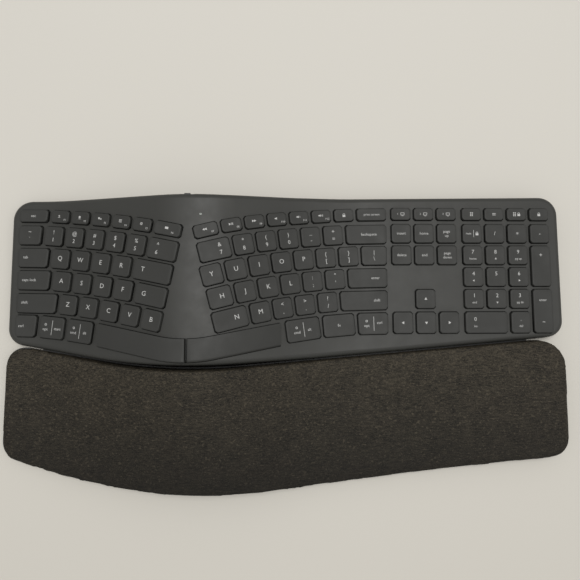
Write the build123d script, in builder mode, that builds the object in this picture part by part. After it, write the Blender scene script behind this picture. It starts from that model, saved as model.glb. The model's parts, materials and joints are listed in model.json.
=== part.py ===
from build123d import *
import os
from math import cos, radians, sin, tan

# Split ergonomic keyboard with a waved deck, fanned keys and a padded palm rest.
# X runs to the right, Y to the back, Z up. The origin is under the middle, on the desk.
os.makedirs("parts", exist_ok=True)

# Overall sizes, in millimetres
width = 456.0
depth = 240.0
crest_height = 44.8
crest_x = -73.5
deck_rise = 1.15
parting_height = 4.0
foot_height = 1.5
corner_radius = 14.0
shoulder = 0.4
overrun = 20.0
wall_draft = 4.0
top_facing = 0.7

# Wave of the deck, followed outwards from its crest
crest_radius = 95.0
left_slope = 18.0
left_run = 73.0
left_valley_radius = 150.0
entry_slope = 5.0
right_slope = 19.0
right_run = 40.0
right_valley_radius = 200.0
level_y = 41.4

# Back edge of the housing, in three gently bent stretches
back_left_y = 116.2
back_bends = [(-53.5, 115.7), (16.5, 117.8)]
back_right_y = 120.2
back_radius = 400.0
back_corner_radius = 16.0

# Seam between the housing and the palm rest
seam_left_y = -0.6
seam_right_y = 2.4
seam_apex_x = -97.0
seam_apex_y = -24.8
seam_radius = 440.0
seam_gap = 1.0

# Palm rest
palm_left_y = -89.7
palm_right_y = -94.2
palm_apex_x = -110.4
palm_apex_y = -129.3
palm_radius = 507.0
palm_bend_x = 111.5
palm_bend_y = -104.5
palm_bend_radius = 1500.0
palm_corner_radius = 16.0
palm_rear_radius = 22.0
palm_front_height = 9.6
palm_front_y = -123.4
palm_front_wave_share = 0.36
palm_slope_power = 1.6
palm_rear_drop = 0.4
palm_edge_radius = 2.6
fabric_thickness = 0.9
foam_thickness = 2.8
palm_flange = 1.0
palm_shell = 1.8
palm_rib_thickness = 1.6
palm_rib_shares = (-0.36, -0.24, -0.1, 0.04, 0.16, 0.28, 0.4)
palm_station_shares = (-0.12, 0.14, 0.4, 0.66, 0.9, 1.12)
palm_x_shares = (-0.56, -0.5, -0.43, -0.37, -0.3, -0.23, -0.165, -0.1, -0.03, 0.05, 0.14, 0.3, 0.56)

# Housing walls
deck_wall = 2.2
side_wall = 2.4
rim_radius = 4.0
floor_thickness = 1.6
lip_height = 0.6
lip_thickness = 1.0
lip_clearance = 0.15

# Keys
key_pitch = 19.0
row_pitch = 18.1
function_step = 16.3
bottom_step = 19.4
key_gap = 2.6
row_gap = 2.2
function_key_depth = 10.4
bottom_key_depth = 17.7
cap_top = 2.4
cap_skirt = 0.3
cap_taper = 0.25
cap_corner = 1.7
cap_wall = 1.1
cap_roof = 1.0
key_clearance = 0.4
key_travel = 1.8
outer_tilt_share = 0.3

# Fans that the rows lie on, measured along the deck from the crest
left_fan_run = -207.3
left_fan_y = 71.7
left_fan_radius = 806.5
left_edge_run = -152.9
right_fan_run = 162.6
right_fan_y = 69.4
right_fan_radius = 566.2
right_edge_run = 159.3
nav_run = 170.4
numpad_gap = 2.3

# Rows: offset from the letter row above the home row, and depth of a cap
letter_key_depth = row_pitch - row_gap
row_offsets = {
    "function": row_pitch + function_step,
    "number": row_pitch,
    "upper": 0,
    "home": -row_pitch,
    "lower": -2 * row_pitch,
    "bottom": -2 * row_pitch - bottom_step,
}
row_depths = {
    "function": function_key_depth,
    "number": letter_key_depth,
    "upper": letter_key_depth,
    "home": letter_key_depth,
    "lower": letter_key_depth,
    "bottom": bottom_key_depth,
}

# Where each fanned row starts and how wide its keys are, as shares of the key pitch
left_start_shares = {
    "function": 4.29, "number": 4.02, "upper": 4.36, "home": 4.46, "lower": 4.81, "bottom": 3.93,
}
left_width_shares = {
    "function": (1, 1, 1, 1, 1, 1.31),
    "number": (1, 1, 1, 1, 1, 1.42),
    "upper": (1, 1, 1, 1, 1.86),
    "home": (1, 1, 1, 1, 1.55),
    "lower": (1, 1, 1, 1, 1),
    "bottom": (1.28, 1.38),
}
left_names = {
    "function": ["function_keys_left"] * 6,
    "number": ["number_keys_left"] * 6,
    "upper": ["key_q", "key_w", "key_e", "key_r", "key_t"],
    "home": ["key_a", "key_s", "key_d", "key_f", "key_g"],
    "lower": ["key_z", "key_x", "key_c", "key_v", "key_b"],
    "bottom": ["edge_keys_left"] * 2,
}
right_start_shares = {
    "function": 1.61, "number": 2.09, "upper": 1.42, "home": 2.02, "lower": 2.36, "bottom": 1.61,
}
right_width_shares = {
    "function": (1, 1, 1, 1, 1, 1, 1.13),
    "number": (1, 1, 1, 1, 1, 1.45),
    "upper": (1, 1, 1, 1, 1, 1, 1),
    "home": (1, 1, 1, 1, 1, 1.12),
    "lower": (1, 1, 1, 1, 1.58),
    "bottom": (1.52, 1.64),
}
right_names = {
    "function": ["function_keys_right"] * 7,
    "number": ["number_keys_right"] * 6,
    "upper": ["punctuation_keys"] * 2 + ["key_p", "key_o", "key_i", "key_u", "key_y"],
    "home": ["punctuation_keys"] * 2 + ["key_l", "key_k", "key_j", "key_h"],
    "lower": ["punctuation_keys"] * 3 + ["key_m", "key_n"],
    "bottom": ["edge_keys_right"] * 2,
}
left_edge_names = {
    "function": "function_keys_left", "number": "number_keys_left", "upper": "edge_keys_left",
    "home": "edge_keys_left", "lower": "edge_keys_left", "bottom": "edge_keys_left",
}
right_edge_names = {
    "function": "function_keys_right", "number": "number_keys_right", "upper": "edge_keys_right",
    "home": "edge_keys_right", "lower": "edge_keys_right", "bottom": "edge_keys_right",
}

# Straight blocks at the right: column, columns wide, top row and bottom row of each key
grid_keys = {
    "navigation_keys": [
        (column, 1, row, row) for row in ("function", "number", "upper") for column in range(3)
    ],
    "arrow_keys": [
        (1, 1, "lower", "lower"), (0, 1, "bottom", "bottom"),
        (1, 1, "bottom", "bottom"), (2, 1, "bottom", "bottom"),
    ],
    "number_pad_keys": [(column, 1, "function", "function") for column in range(3, 7)]
    + [(column, 1, "number", "number") for column in range(3, 7)]
    + [(column, 1, row, row) for row in ("upper", "home", "lower") for column in range(3, 6)]
    + [(6, 1, "upper", "home"), (6, 1, "lower", "bottom")]
    + [(3, 2, "bottom", "bottom"), (5, 1, "bottom", "bottom")],
}

# Space bars, on a centre line that bends round the crest
space_left_run = -80.4
space_left_y = 5.1
space_apex_run = -6.8
space_apex_y = -10.0
space_right_run = 69.7
space_right_y = 4.6
space_bend_radius = 106.0
space_split_run = -4.7
space_split_gap = 1.6

# Sheets under the keys, from the deck surface down
dome_sheet_depth = 2.6
dome_sheet_thickness = 0.3
dome_base_radius = 3.0
dome_top_radius = 1.9
dome_clearance = 0.05
dome_sides = 6
membrane_thickness = 0.3
plate_thickness = 0.7
sheet_clearance = 0.4

# Screw posts in the housing
post_radius = 3.0
post_hole_radius = 1.3
post_clearance = 0.5
back_post_spread = 37.0
back_post_y = 106.4
nav_post_offset = 166.4
nav_post_y = 32.4
post_places = [
    (crest_x - back_post_spread, back_post_y), (crest_x + back_post_spread, back_post_y),
    (crest_x + nav_post_offset, nav_post_y), (crest_x + nav_post_offset + 2 * key_pitch, nav_post_y),
]
screw_head_radius = 2.6
screw_head_height = 1.0
screw_length = 8.0
screw_radius = 1.1
screw_head_clearance = 0.2

# Battery bay, door, cells and circuit board
cell_diameter = 10.5
cell_length = 44.5
cell_button_radius = 1.9
cell_button_length = 0.8
cell_spacing = 11.5
bay_x = crest_x
bay_y = 76.4
bay_wall = 1.6
bay_clearance = 0.6
contact_thickness = 0.4
contact_width = 8.0
contact_height = 8.0
door_margin = 3.0
door_thickness = 1.4
door_clearance = 0.3
door_grip_width = 14.0
door_grip_length = 4.0
door_grip_depth = 0.7
board_length = 78.0
board_width = 26.0
board_thickness = 1.2
board_y = 44.4
board_height = 9.0
board_post_radius = 2.2
board_post_inset = 4.0
chip_size = 8.0
chip_height = 1.1

# Power switch and status light
switch_x = -77.6
switch_drop = 1.4
switch_slot_length = 8.0
switch_slot_height = 3.0
switch_knob_length = 4.6
switch_knob_rise = 0.15
switch_clearance = 0.3
switch_flange_length = 9.0
switch_flange_height = 3.2
switch_flange_drop = 2.0
switch_flange_thickness = 0.9
switch_window_length = 18.0
switch_window_depth = 10.0
light_x = -68.5
light_y = 96.4
light_radius = 0.9
light_clearance = 0.05

# Flip legs, hinged in wells under the palm rest
leg_thickness = 2.4
leg_inset = 0.2
leg_clearance = 0.3
leg_hinge_y = -84.0
leg_open_angle = 95.0
tall_leg_length = 30.0
tall_leg_width = 24.0
tall_leg_x = 166.0
short_leg_length = 20.0
short_leg_width = 20.0
short_leg_x = 132.0
leg_pin_radius = 0.8
leg_pin_length = 1.4
leg_pin_clearance = 0.12
well_wall = 2.2
well_roof = 1.0
well_finger_room = 5.0
leg_slot_width_share = 0.5
leg_slot_length_share = 0.45

# Rubber feet
foot_length = 26.0
foot_width = 7.0
foot_sink = 0.5
foot_places = [
    (-196.0, 104.0), (196.0, 104.0), (0.0, 104.0), (-196.0, -70.0), (196.0, -74.0), (0.0, -96.0),
]

front_y = -depth / 2
bend_x, bend_y = back_bends[0]
switch_place_share = (switch_x + width / 2) / (bend_x + width / 2)
switch_edge_y = back_left_y + switch_place_share * (bend_y - back_left_y)
rise_share = tan(radians(deck_rise))
floor_top = foot_height + floor_thickness
membrane_depth = dome_sheet_depth + dome_sheet_thickness
plate_depth = membrane_depth + membrane_thickness
hem_height = parting_height + palm_flange
switch_height = crest_height - switch_drop
leg_axis_height = foot_height + leg_inset + leg_thickness / 2


def wave_side(distance, slope, run, valley_radius, end_slope):
    """Distance out, drop and slope angle of the deck at a distance along it from the crest."""
    slope, end_slope = radians(slope), radians(end_slope)
    crest_arc = crest_radius * slope
    if distance < crest_arc:
        angle = distance / crest_radius
        return crest_radius * sin(angle), crest_radius * (1 - cos(angle)), angle
    out, drop = crest_radius * sin(slope), crest_radius * (1 - cos(slope))
    along = min(distance - crest_arc, run)
    out, drop = out + along * cos(slope), drop + along * sin(slope)
    if distance < crest_arc + run:
        return out, drop, slope
    valley_arc = valley_radius * (slope - end_slope)
    along = min(distance - crest_arc - run, valley_arc)
    angle = slope - along / valley_radius
    out += valley_radius * (sin(slope) - sin(angle))
    drop += valley_radius * (cos(angle) - cos(slope))
    rest = max(distance - crest_arc - run - valley_arc, 0)
    return out + rest * cos(angle), drop + rest * sin(angle), angle


def wave_at(run):
    """X, height at the level line and slope of the deck at a signed run from the crest."""
    if run < 0:
        out, drop, angle = wave_side(-run, left_slope, left_run, left_valley_radius, entry_slope)
        return crest_x - out, crest_height - drop, angle
    out, drop, angle = wave_side(run, right_slope, right_run, right_valley_radius, 0)
    return crest_x + out, crest_height - drop, -angle


def wave_height(x):
    """Height of the deck at the level line over a place on X, found by halving."""
    low, high = -width, width
    while high - low > width * 1e-7:
        middle = (low + high) / 2
        if wave_at(middle)[0] < x:
            low = middle
        else:
            high = middle
    return wave_at(low)[1]


def deck_height(x, y):
    """Height of the deck over a place, with its gentle rise to the back."""
    return wave_height(x) + rise_share * (y - level_y)


def deck_point(run, y):
    """Point on the deck at a run along the wave and a place on Y."""
    x, z, _ = wave_at(run)
    return Vector(x, y, z + rise_share * (y - level_y))


def deck_plane(low_run, high_run, y):
    """Plane resting on a stretch of the deck, level with the mean of it."""
    low, high = deck_point(low_run, y), deck_point(high_run, y)
    middle = deck_point((low_run + high_run) / 2, y)
    x_dir = (high - low).normalized()
    normal = x_dir.cross(Vector(0, 1, rise_share)).normalized()
    return Plane(origin=(low + high + middle * 2) / 4, x_dir=x_dir, z_dir=normal)


def wave_lines(sink, reach):
    """Draws the deck's profile, sunk below it by a depth, on both sides of the crest."""
    for hand, slope, run, valley_radius, end_slope in (
        (-1, left_slope, left_run, left_valley_radius, entry_slope),
        (1, right_slope, right_run, right_valley_radius, 0),
    ):
        crest = JernArc((0, -sink), (hand, 0), crest_radius - sink, -hand * slope)
        straight = Line(crest @ 1, crest @ 1 + (crest % 1) * run)
        valley = JernArc(straight @ 1, straight % 1, valley_radius + sink, hand * (slope - end_slope))
        rest = (reach - hand * (valley @ 1).X) / cos(radians(end_slope))
        Line(valley @ 1, valley @ 1 + (valley % 1) * rest)


def wave_end(sink, reach, hand):
    """Corner of a waved profile at its left or right end."""
    slope = entry_slope if hand < 0 else 0
    far = wave_side(
        reach, left_slope if hand < 0 else right_slope, left_run if hand < 0 else right_run,
        left_valley_radius if hand < 0 else right_valley_radius, slope,
    )
    out, drop = far[0] - sink * sin(radians(slope)), far[1] + sink * cos(radians(slope))
    return hand * reach, -drop - (reach - out) * tan(radians(slope))


def waved_slab(top_sink, bottom_sink):
    """Slab between two depths under the deck, wider and deeper than the housing."""
    reach = width / 2 - crest_x + overrun
    start_y = front_y - overrun
    start = Plane(
        origin=(crest_x, start_y, crest_height + rise_share * (start_y - level_y)),
        x_dir=(1, 0, 0),
        z_dir=(0, -1, 0),
    )
    with BuildPart() as slab:
        with BuildSketch(start):
            with BuildLine():
                wave_lines(top_sink, reach)
                if bottom_sink is None:
                    base = -crest_height - overrun
                    Polyline(
                        wave_end(top_sink, reach, -1), (-reach, base), (reach, base),
                        wave_end(top_sink, reach, 1),
                    )
                else:
                    wave_lines(bottom_sink, reach)
                    for hand in (-1, 1):
                        Line(wave_end(top_sink, reach, hand), wave_end(bottom_sink, reach, hand))
            make_face()
        extrude(amount=(depth + 2 * overrun) / cos(radians(deck_rise)), dir=(0, 1, rise_share))
    return slab.part


def housing_face(inset):
    """Outline of the housing in plan."""
    side = width / 2 - shoulder
    with BuildSketch() as face:
        with BuildLine():
            FilletPolyline(
                (-side, back_left_y), (-side, seam_left_y), (seam_apex_x, seam_apex_y),
                (side, seam_right_y), (side, back_right_y), *reversed(back_bends),
                radius=[
                    back_corner_radius, corner_radius, seam_radius, corner_radius,
                    back_corner_radius, back_radius, back_radius,
                ],
                close=True,
            )
        make_face()
        if inset:
            offset(amount=-inset, mode=Mode.REPLACE)
    return face.sketch


def palm_face(inset):
    """Outline of the palm rest in plan."""
    side = width / 2
    with BuildSketch() as face:
        with BuildLine():
            FilletPolyline(
                (-side, seam_left_y - seam_gap), (-side, palm_left_y),
                (palm_apex_x, palm_apex_y), (palm_bend_x, palm_bend_y), (side, palm_right_y),
                (side, seam_right_y - seam_gap), (seam_apex_x, seam_apex_y - seam_gap),
                radius=[
                    corner_radius, palm_corner_radius, palm_radius, palm_bend_radius,
                    palm_corner_radius, palm_rear_radius, seam_radius,
                ],
                close=True,
            )
        make_face()
        if inset:
            offset(amount=-inset, mode=Mode.REPLACE)
    return face.sketch


def housing_block(sink, inset, base, bottom_sink=None):
    """Solid under the waved deck, sunk and inset, from a base height or a second depth up."""
    lean = (parting_height - base) * tan(radians(wall_draft))
    with BuildPart() as block:
        with BuildSketch(Plane.XY.offset(base)):
            add(housing_face(inset - lean))
        extrude(amount=crest_height + overrun - base, taper=wall_draft)
        add(waved_slab(sink, bottom_sink), mode=Mode.INTERSECT)
    return block.part


def palm_top(x, share):
    """Height of the palm rest at a share of the way from the seam to its front."""
    seam_y = seam_left_y
    rear = deck_height(x, seam_y) - palm_rear_drop
    front = palm_front_height + palm_front_wave_share * (wave_height(x) - wave_height(width / 2))
    eased = max(share, 0) ** palm_slope_power
    return rear + (front - rear) * eased


def palm_block(sink, base):
    """Padded wave of the palm rest, sunk and inset alike, from a base height up."""
    with BuildPart() as block:
        for share in palm_station_shares:
            y = seam_left_y + share * (palm_front_y - seam_left_y)
            with BuildSketch(Plane.XZ.offset(-y)):
                with BuildLine():
                    points = [(width * x, palm_top(width * x, share) - sink) for x in palm_x_shares]
                    Spline(*points)
                    Polyline(
                        points[-1], (points[-1][0], base - overrun),
                        (points[0][0], base - overrun), points[0],
                    )
                make_face()
        loft()
        with BuildSketch(Plane.XY.offset(base)):
            add(palm_face(sink))
        extrude(amount=crest_height + overrun, mode=Mode.INTERSECT)
    return block.part


def once_edges(faces):
    """Edges that only one of the faces has: the outline of them all."""
    edges = [edge for face in faces for edge in face.edges()]
    return [edge for edge in edges if sum(edge.is_same(other) for other in edges) == 1]


def finish(piece, name):
    """Names a piece and writes it."""
    piece.part.label = name
    export_step(piece.part, f"parts/{name}.step")


# Keys: each is a name, the plane of its place on the deck, its skirt's corners there,
# and the run and Y of its middle
def fan_place(hand, offset_y, along):
    """Run, Y and turn of a place on a fanned row, at a distance along that row."""
    fan_run, fan_y, radius = (
        (left_fan_run, left_fan_y, left_fan_radius)
        if hand > 0
        else (right_fan_run, right_fan_y, right_fan_radius)
    )
    angle = along / (radius + offset_y)
    run = fan_run + hand * (radius + offset_y) * sin(angle)
    return run, fan_y - radius + (radius + offset_y) * cos(angle), angle


def key_from_corners(name, corners):
    """Key standing on the deck under its four corners, given as runs and places on Y."""
    runs, places = [corner[0] for corner in corners], [corner[1] for corner in corners]
    plane = deck_plane(min(runs), max(runs), (min(places) + max(places)) / 2)
    middle_run, middle_y = (min(runs) + max(runs)) / 2, (min(places) + max(places)) / 2
    local = [(run - middle_run, y - middle_y) for run, y in corners]
    return name, plane, local, (middle_run, middle_y)


def fanned_key(name, hand, row, start, end):
    """Upright key between two distances along a fanned row."""
    run, y, angle = fan_place(hand, row_offsets[row], (start + end) / 2)
    half_width, half_depth = (end - start - key_gap) / 2, row_depths[row] / 2
    turn = -hand * angle
    corners = [
        (run + a * cos(turn) - b * sin(turn), y + a * sin(turn) + b * cos(turn))
        for a, b in (
            (-half_width, -half_depth), (half_width, -half_depth),
            (half_width, half_depth), (-half_width, half_depth),
        )
    ]
    return key_from_corners(name, corners)


def edge_key(name, hand, row, end):
    """Key that fills a row out to the side of its block, with a leaning inner side."""
    edge = left_edge_run + key_gap / 2 if hand > 0 else right_edge_run - key_gap / 2
    angle = (end - key_gap / 2) / ((left_fan_radius if hand > 0 else right_fan_radius) + row_offsets[row])
    inner = []
    for half_depth in (-row_depths[row] / 2, row_depths[row] / 2):
        fan_radius = left_fan_radius if hand > 0 else right_fan_radius
        radius = fan_radius + row_offsets[row] + half_depth
        inner.append(fan_place(hand, row_offsets[row] + half_depth, angle * radius)[:2])
    lift = outer_tilt_share * angle * abs(inner[0][0] - edge)
    outer = [(edge, inner[0][1] + lift), (edge, inner[1][1] + lift)]
    if hand > 0:
        corners = [outer[0], inner[0], inner[1], outer[1]]
    else:
        corners = [inner[0], outer[0], outer[1], inner[1]]
    return key_from_corners(name, corners)


def grid_key(name, column, columns, top_row, bottom_row):
    """Key of the straight blocks."""
    left = nav_run + (column - 0.5) * key_pitch + (numpad_gap if column > 2 else 0) + key_gap / 2
    right = left + columns * key_pitch - key_gap
    top = right_fan_y + row_offsets[top_row] + row_depths[top_row] / 2
    bottom = right_fan_y + row_offsets[bottom_row] - row_depths[bottom_row] / 2
    return key_from_corners(name, [(left, bottom), (right, bottom), (right, top), (left, top)])


def all_keys():
    """Every flat key, block by block."""
    keys = []
    for hand, starts, widths, names, edge_names in (
        (1, left_start_shares, left_width_shares, left_names, left_edge_names),
        (-1, right_start_shares, right_width_shares, right_names, right_edge_names),
    ):
        for row, shares in widths.items():
            along = starts[row] * key_pitch
            keys.append(edge_key(edge_names[row], hand, row, along))
            for share, name in zip(shares, names[row]):
                keys.append(fanned_key(name, hand, row, along, along + share * key_pitch))
                along += share * key_pitch
    for name, cells in grid_keys.items():
        keys += [grid_key(name, *cell) for cell in cells]
    return keys


keys = all_keys()
key_names = list(dict.fromkeys(key[0] for key in keys))
slide_axes = {}
for key_name in key_names:
    normals = [plane.z_dir for name, plane, _, _ in keys if name == key_name]
    slide_axes[key_name] = sum(normals, Vector(0, 0, 0)).normalized()


def grown(corners, amount):
    """Four corners moved out, or in when negative, square to their sides."""
    lines = []
    for start, end in zip(corners, corners[1:] + corners[:1]):
        side = Vector(end[0] - start[0], end[1] - start[1]).normalized()
        lines.append((Vector(*start) + Vector(side.Y, -side.X) * amount, side))
    moved = []
    for (a, u), (b, v) in zip(lines[-1:] + lines[:-1], lines):
        step = (b - a).cross(v).Z / u.cross(v).Z
        moved.append(((a + u * step).X, (a + u * step).Y))
    return moved


def key_polygon(plane, shift, corners, amount):
    """Sketch of a key's outline, grown, on its plane moved by a shift."""
    moved = Plane(origin=plane.origin + shift, x_dir=plane.x_dir, z_dir=plane.z_dir)
    with BuildSketch(moved) as outline:
        Polygon(*grown(corners, amount), align=None)
        chamfer(outline.vertices(), cap_corner)
    return outline.sketch


def add_cap(plane, corners, axis):
    """Hollow keycap: a tapered outline with a recess under its roof."""
    skirt = key_polygon(plane, axis * -cap_skirt, corners, 0)
    roof = key_polygon(plane, axis * cap_top, corners, -cap_taper)
    loft(sections=[skirt, roof], ruled=True)
    moved = Plane(origin=plane.origin - axis * cap_skirt, x_dir=plane.x_dir, z_dir=plane.z_dir)
    with BuildSketch(moved) as recess:
        Polygon(*grown(corners, -cap_wall), align=None)
    extrude(recess.sketch, cap_skirt + cap_top - cap_roof, dir=axis, mode=Mode.SUBTRACT)


def space_plane(hand):
    """Plane on the deck under a space bar's middle, its axis and its middle run and Y."""
    split = space_split_run
    low, high = (space_left_run, split) if hand < 0 else (split, space_right_run)
    plane = deck_plane(low, high, space_apex_y)
    return plane, (low + high) / 2


def space_outline(hand, growth, shift):
    """Sketch of a space bar's bent outline on its own plane."""
    plane, middle = space_plane(hand)
    moved = Plane(origin=plane.origin + shift, x_dir=plane.x_dir, z_dir=plane.z_dir)
    split = space_split_run - middle + hand * (space_split_gap / 2 - growth)
    far = (space_left_run if hand < 0 else space_right_run) - middle - hand * (key_gap / 2)
    with BuildSketch(moved) as outline:
        with BuildLine():
            FilletPolyline(
                (space_left_run - middle, space_left_y - space_apex_y),
                (space_apex_run - middle, 0),
                (space_right_run - middle, space_right_y - space_apex_y),
                radius=space_bend_radius,
            )
        trace(line_width=bottom_key_depth + 2 * growth)
        with BuildLine():
            side = bottom_key_depth * 2
            end = far + hand * growth
            Polyline((split, -side), (end, -side), (end, side), (split, side), close=True)
        make_face(mode=Mode.INTERSECT)
    return outline.sketch


space_names = {-1: "space_bar_left", 1: "space_bar_right"}
for space_hand, space_name in space_names.items():
    slide_axes[space_name] = space_plane(space_hand)[0].z_dir

# Top case: waved shell with an opening for every key
with BuildPart() as top_case:
    add(housing_block(0, 0, parting_height))
    deck_faces = top_case.faces().filter_by(lambda face: face.normal_at().Z > top_facing)
    fillet(once_edges(deck_faces), radius=rim_radius)
    add(housing_block(deck_wall, side_wall, parting_height - overrun), mode=Mode.SUBTRACT)
    with BuildPart(mode=Mode.PRIVATE) as posts:
        with BuildSketch(Plane.XY.offset(floor_top)):
            with Locations(*post_places):
                Circle(post_radius)
        extrude(amount=crest_height)
        add(housing_block(deck_wall / 2, side_wall, 0), mode=Mode.INTERSECT)
        with BuildSketch(Plane.XY.offset(floor_top)):
            with Locations(*post_places):
                Circle(post_hole_radius)
        extrude(amount=screw_length, mode=Mode.SUBTRACT)
    add(posts.part)
    openings = []
    opening_reach = cap_top + deck_wall
    for key_name, key_plane, key_corners, _ in keys:
        key_axis = slide_axes[key_name]
        opening = key_polygon(key_plane, key_axis * -opening_reach, key_corners, key_clearance)
        openings.append(extrude(opening, 2 * opening_reach, dir=key_axis, mode=Mode.PRIVATE))
    for space_hand, space_name in space_names.items():
        key_axis = slide_axes[space_name]
        opening = space_outline(space_hand, key_clearance, key_axis * -2 * opening_reach)
        openings.append(extrude(opening, 4 * opening_reach, dir=key_axis, mode=Mode.PRIVATE))
    add(openings, mode=Mode.SUBTRACT)
    # Slot for the power switch in the rolled back edge, and hole for the status light
    with BuildSketch(Plane.XZ.offset(-switch_edge_y + switch_window_depth)):
        with Locations((switch_x, switch_height)):
            Rectangle(switch_slot_length, switch_slot_height)
    extrude(amount=-switch_window_depth, mode=Mode.SUBTRACT)
    with BuildSketch(Plane.XY.offset(crest_height - overrun)):
        with Locations((light_x, light_y)):
            Circle(light_radius + light_clearance)
    extrude(amount=2 * overrun, mode=Mode.SUBTRACT)
finish(top_case, "top_case")

# Keycaps, a node for each letter and one for each block that shares a name
for key_name in key_names:
    with BuildPart() as keycaps:
        for name, key_plane, key_corners, _ in keys:
            if name == key_name:
                add_cap(key_plane, key_corners, slide_axes[key_name])
    finish(keycaps, key_name)

for space_hand, space_name in space_names.items():
    key_axis = slide_axes[space_name]
    with BuildPart() as space_bar:
        outline = space_outline(space_hand, 0, key_axis * -2 * cap_top)
        extrude(outline, amount=4 * cap_top, dir=key_axis)
        add(waved_slab(-cap_top, cap_skirt), mode=Mode.INTERSECT)
        with BuildPart(mode=Mode.PRIVATE) as recess:
            outline = space_outline(space_hand, -cap_wall, key_axis * -2 * cap_top)
            extrude(outline, amount=4 * cap_top, dir=key_axis)
            add(waved_slab(cap_roof - cap_top, cap_skirt + overrun), mode=Mode.INTERSECT)
        add(recess.part, mode=Mode.SUBTRACT)
    finish(space_bar, space_name)

# Sheets under the keys: rubber domes, contact membrane and steel plate
def key_sheet(top_sink, bottom_sink):
    """Waved sheet inside the housing, cut away round the screw posts and the switch."""
    with BuildPart() as sheet:
        add(housing_block(top_sink, side_wall + sheet_clearance, 0, bottom_sink))
        with BuildSketch():
            with Locations(*post_places):
                Circle(post_radius + post_clearance)
            with Locations((switch_x, switch_edge_y)):
                Rectangle(switch_window_length, 2 * switch_window_depth)
        extrude(amount=crest_height + overrun, mode=Mode.SUBTRACT)
    return sheet.part


def dome_on(run, y, plane, axis):
    """Rubber dome from its sheet, at a run and Y, up to the roof of a key on its plane."""
    sections = []
    base = deck_plane(run - dome_base_radius, run + dome_base_radius, y)
    for stand, radius, shift in (
        (base, dome_base_radius, base.z_dir * (dome_sheet_thickness / 2 - membrane_depth)),
        (plane, dome_top_radius, axis * (cap_top - cap_roof - dome_clearance)),
    ):
        moved = Plane(origin=stand.origin + shift, x_dir=stand.x_dir, z_dir=stand.z_dir)
        with BuildSketch(moved) as section:
            RegularPolygon(radius, dome_sides)
        sections.append(section.sketch)
    return loft(sections=sections, ruled=True, mode=Mode.PRIVATE)


with BuildPart() as dome_sheet:
    add(key_sheet(dome_sheet_depth, membrane_depth))
    domes = [
        dome_on(*place, key_plane, slide_axes[key_name]) for key_name, key_plane, _, place in keys
    ]
    for space_hand, space_name in space_names.items():
        space_middle = space_plane(space_hand)[1]
        space_y = (space_left_y if space_hand < 0 else space_right_y) / 2 + space_apex_y / 2
        middle_plane = deck_plane(space_middle - dome_base_radius, space_middle + dome_base_radius, space_y)
        domes.append(dome_on(space_middle, space_y, middle_plane, slide_axes[space_name]))
    add(domes)
finish(dome_sheet, "dome_sheet")

with BuildPart() as membrane:
    add(key_sheet(membrane_depth, plate_depth))
finish(membrane, "membrane")

with BuildPart() as key_plate:
    add(key_sheet(plate_depth, plate_depth + plate_thickness))
finish(key_plate, "key_plate")

# Palm rest: fabric skin, foam pad and rigid base
foam_sink = fabric_thickness + foam_thickness
with BuildPart() as palm_fabric:
    add(palm_block(0, hem_height))
    pad_faces = palm_fabric.faces().filter_by(lambda face: face.normal_at().Z > top_facing)
    fillet(once_edges(pad_faces), radius=palm_edge_radius)
    add(palm_block(fabric_thickness, hem_height - overrun), mode=Mode.SUBTRACT)
finish(palm_fabric, "palm_fabric")

with BuildPart() as palm_foam:
    add(palm_block(fabric_thickness, hem_height))
    add(palm_block(foam_sink, hem_height - overrun), mode=Mode.SUBTRACT)
finish(palm_foam, "palm_foam")

# Wells for the flip legs: place on X, width and length of each leg
legs = {
    "tall_leg_left": (-tall_leg_x, tall_leg_width, tall_leg_length),
    "short_leg_left": (-short_leg_x, short_leg_width, short_leg_length),
    "tall_leg_right": (tall_leg_x, tall_leg_width, tall_leg_length),
    "short_leg_right": (short_leg_x, short_leg_width, short_leg_length),
}


def well_block(growth, base):
    """Blocks that hold the leg wells, grown by a margin, or the wells themselves."""
    with BuildPart() as block:
        for place, leg_width, leg_length in legs.values():
            front = leg_hinge_y - leg_thickness / 2 - leg_clearance - growth
            rear = leg_hinge_y - leg_thickness / 2 + leg_length + well_finger_room + growth
            with BuildSketch(Plane.XY.offset(base)):
                with Locations((place, (front + rear) / 2)):
                    Rectangle(leg_width + 2 * (leg_clearance + growth), rear - front)
            roof = foot_height + leg_inset + leg_thickness + leg_clearance
            extrude(amount=roof + min(growth, well_roof) - base)
    return block.part


with BuildPart() as palm_base:
    add(palm_block(foam_sink, parting_height))
    with BuildSketch(Plane.XY.offset(parting_height)):
        add(palm_face(0))
    extrude(amount=palm_flange)
    add(palm_block(foam_sink + palm_shell, -overrun), mode=Mode.SUBTRACT)
    with BuildPart(mode=Mode.PRIVATE) as ribs:
        with BuildSketch(Plane.XY.offset(parting_height)):
            for share in palm_rib_shares:
                with Locations((share * width, (seam_apex_y + palm_apex_y) / 2)):
                    Rectangle(palm_rib_thickness, depth / 2)
        extrude(amount=crest_height)
        add(palm_block(foam_sink + palm_shell / 2, parting_height), mode=Mode.INTERSECT)
    add(ribs.part)
    add(well_block(well_wall + leg_clearance, 0), mode=Mode.SUBTRACT)
finish(palm_base, "palm_base")

# Bottom case: floor and rim under the housing and the palm rest
bay_length = cell_length + 2 * (contact_thickness + bay_clearance)
bay_width = cell_spacing + cell_diameter + 2 * bay_clearance
bay_floor = foot_height + door_thickness + door_clearance
bay_height = cell_diameter + bay_clearance
door_length = bay_length + 2 * door_margin
door_width = bay_width + 2 * door_margin
board_corners = (board_length - 2 * board_post_inset, board_width - 2 * board_post_inset)


def seam_band(reach):
    """Strip under the seam that joins the two outlines, clear of the rounded corners."""
    with BuildSketch() as band:
        add(housing_face(-reach))
        add(palm_face(-reach), mode=Mode.INTERSECT)
        Rectangle(width - 4 * corner_radius, depth, mode=Mode.INTERSECT)
    return band.sketch


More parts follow.
